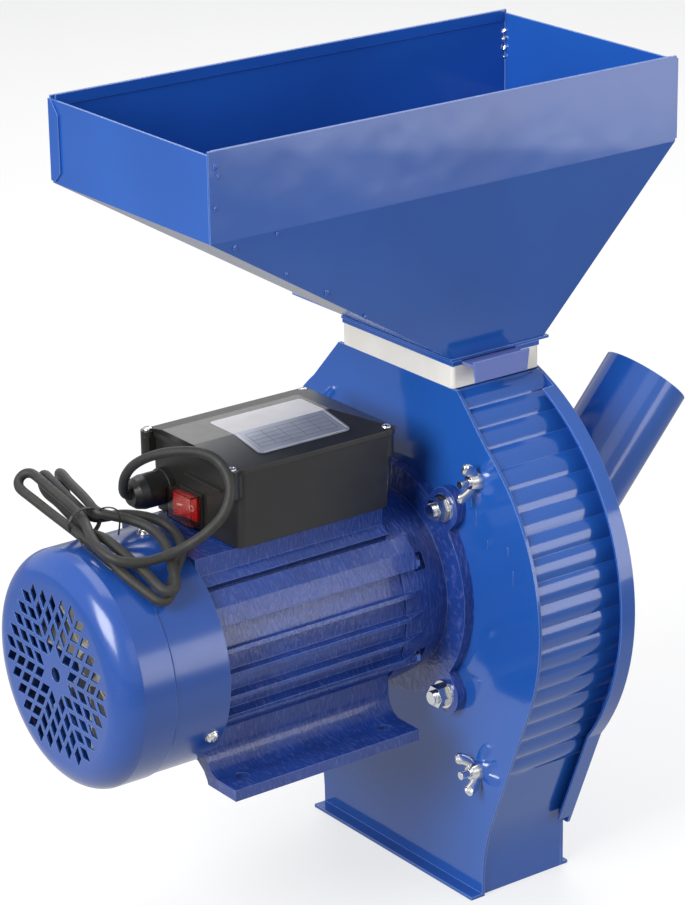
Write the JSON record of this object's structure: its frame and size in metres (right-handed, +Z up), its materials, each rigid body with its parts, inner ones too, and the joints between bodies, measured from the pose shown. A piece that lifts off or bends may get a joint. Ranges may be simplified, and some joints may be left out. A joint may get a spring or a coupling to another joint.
{
  "type": "electric grain mill",
  "caption": "Electric hammer mill for grain: foot-mounted motor, corrugated round chamber, tapered sheet hopper, slide gate, angled cob inlet, wing-nut cover and bottom outlet.",
  "frame": {"origin": "centre of the four foot holes of the motor, on the plane its feet stand on", "axes": "+X along the shaft from the fan to the mill, +Y away from the side of the gate handle, +Z up"},
  "size_m": [0.5073, 0.344, 0.606],
  "materials": {
    "blue_paint": "glossy blue enamel",
    "motor_paint": "hammered blue enamel",
    "cover_paint": "satin blue enamel",
    "zinc_plate": "bright zinc",
    "bare_steel": "ground steel",
    "core_steel": "stacked laminations",
    "copper": "varnished copper wire",
    "fan_plastic": "plain",
    "cream_plastic": "satin",
    "black_plastic": "fine moulded grain",
    "red_plastic": "gloss",
    "clear_plastic": "clear",
    "seal_rubber": "plain",
    "cord_rubber": "matt sheath",
    "tie_wire": "black lacquered",
    "pin_brass": "nickel plated",
    "capacitor_can": "plain"
  },
  "bodies": {
    "mill": {"ball_bearings": "bare_steel", "box_gasket": "seal_rubber", "cable_gland": "black_plastic", "capacitors": "capacitor_can", "chamber_back_plate": "blue_paint", "chamber_band": "blue_paint", "cord_hank": "cord_rubber", "cord_tail": "cord_rubber", "cord_tie": "tie_wire", "fan_cover": "cover_paint", "fan_cover_screws": "zinc_plate", "flange_bolts": "zinc_plate", "front_end_shield": "motor_paint", "gate_rails": "blue_paint", "hopper_back_panel": "blue_paint", "hopper_front_panel": "blue_paint", "hopper_left_end": "blue_paint", "hopper_right_end": "blue_paint", "inlet_neck": "cream_plastic", "lid_screws": "zinc_plate", "motor_housing": "motor_paint", "outlet_front_wall": "blue_paint", "plug_body": "cord_rubber", "plug_pins": "pin_brass", "power_cord": "cord_rubber", "rear_end_shield": "motor_paint", "shaft_seal": "seal_rubber", "sieve": "bare_steel", "stator_core": "core_steel", "stator_windings": "copper", "switch_body": "black_plastic", "switch_boot": "clear_plastic", "terminal_block": "black_plastic", "terminal_box_base": "black_plastic", "terminal_box_lid": "black_plastic", "throat_bolts": "zinc_plate", "throat_flange": "blue_paint", "tie_bolts": "zinc_plate"},
    "rotor": {"motor_shaft": "bare_steel", "rotor_core": "core_steel", "cooling_fan": "fan_plastic", "shaft_key": "bare_steel", "starting_switch": "bare_steel", "rotor_hub": "bare_steel", "hammer_pins": "bare_steel", "hammer_spacers": "bare_steel", "rotor_bolt": "zinc_plate"},
    "gate": {"feed_gate": "blue_paint"},
    "rocker": {"switch_rocker": "red_plastic"},
    "cover": {"chamber_cover": "blue_paint", "inlet_pipe": "blue_paint", "cover_studs": "zinc_plate"},
    "hammer_1": {"hammer_1": "bare_steel"},
    "wing_nut_1": {"wing_nut_1": "zinc_plate"},
    "hammer_2": {"hammer_2": "bare_steel"},
    "wing_nut_2": {"wing_nut_2": "zinc_plate"},
    "hammer_3": {"hammer_3": "bare_steel"},
    "wing_nut_3": {"wing_nut_3": "zinc_plate"},
    "hammer_4": {"hammer_4": "bare_steel"},
    "wing_nut_4": {"wing_nut_4": "zinc_plate"}
  },
  "joints": [
    {"name": "rotor_spin", "type": "hinge", "parent": "mill", "child": "rotor", "pos_m": [0, 0, 0.09], "axis": [1, 0, 0], "continuous": true},
    {"name": "hammer_1_swing", "type": "hinge", "parent": "rotor", "child": "hammer_1", "pos_m": [0.166, 0.04243, 0.13243], "axis": [1, 0, 0], "range_deg": [-8, 160]},
    {"name": "hammer_2_swing", "type": "hinge", "parent": "rotor", "child": "hammer_2", "pos_m": [0.166, -0.04243, 0.13243], "axis": [1, 0, 0], "range_deg": [-160, 8]},
    {"name": "hammer_3_swing", "type": "hinge", "parent": "rotor", "child": "hammer_3", "pos_m": [0.166, -0.04243, 0.04757], "axis": [1, 0, 0], "range_deg": [-125, 35]},
    {"name": "hammer_4_swing", "type": "hinge", "parent": "rotor", "child": "hammer_4", "pos_m": [0.166, 0.04243, 0.04757], "axis": [1, 0, 0], "range_deg": [-35, 125]},
    {"name": "gate_slide", "type": "slide", "parent": "mill", "child": "gate", "axis": [0, -1, 0], "range_m": [0, 0.08]},
    {"name": "rocker_tip", "type": "hinge", "parent": "mill", "child": "rocker", "pos_m": [-0.047, 0.0045, 0.185], "axis": [0, 0, 1], "range_deg": [-16, 0]},
    {"name": "cover_draw", "type": "slide", "parent": "mill", "child": "cover", "axis": [1, 0, 0], "range_m": [0, 0.1]},
    {"name": "wing_nut_1_turn", "type": "hinge", "parent": "mill", "child": "wing_nut_1", "pos_m": [0.12, -0.0935, 0.19], "axis": [1, 0, 0], "continuous": true},
    {"name": "wing_nut_2_turn", "type": "hinge", "parent": "mill", "child": "wing_nut_2", "pos_m": [0.12, -0.0935, -0.036], "axis": [1, 0, 0], "continuous": true},
    {"name": "wing_nut_3_turn", "type": "hinge", "parent": "mill", "child": "wing_nut_3", "pos_m": [0.12, 0.0935, 0.19], "axis": [1, 0, 0], "continuous": true},
    {"name": "wing_nut_4_turn", "type": "hinge", "parent": "mill", "child": "wing_nut_4", "pos_m": [0.12, 0.0935, -0.036], "axis": [1, 0, 0], "continuous": true}
  ]
}
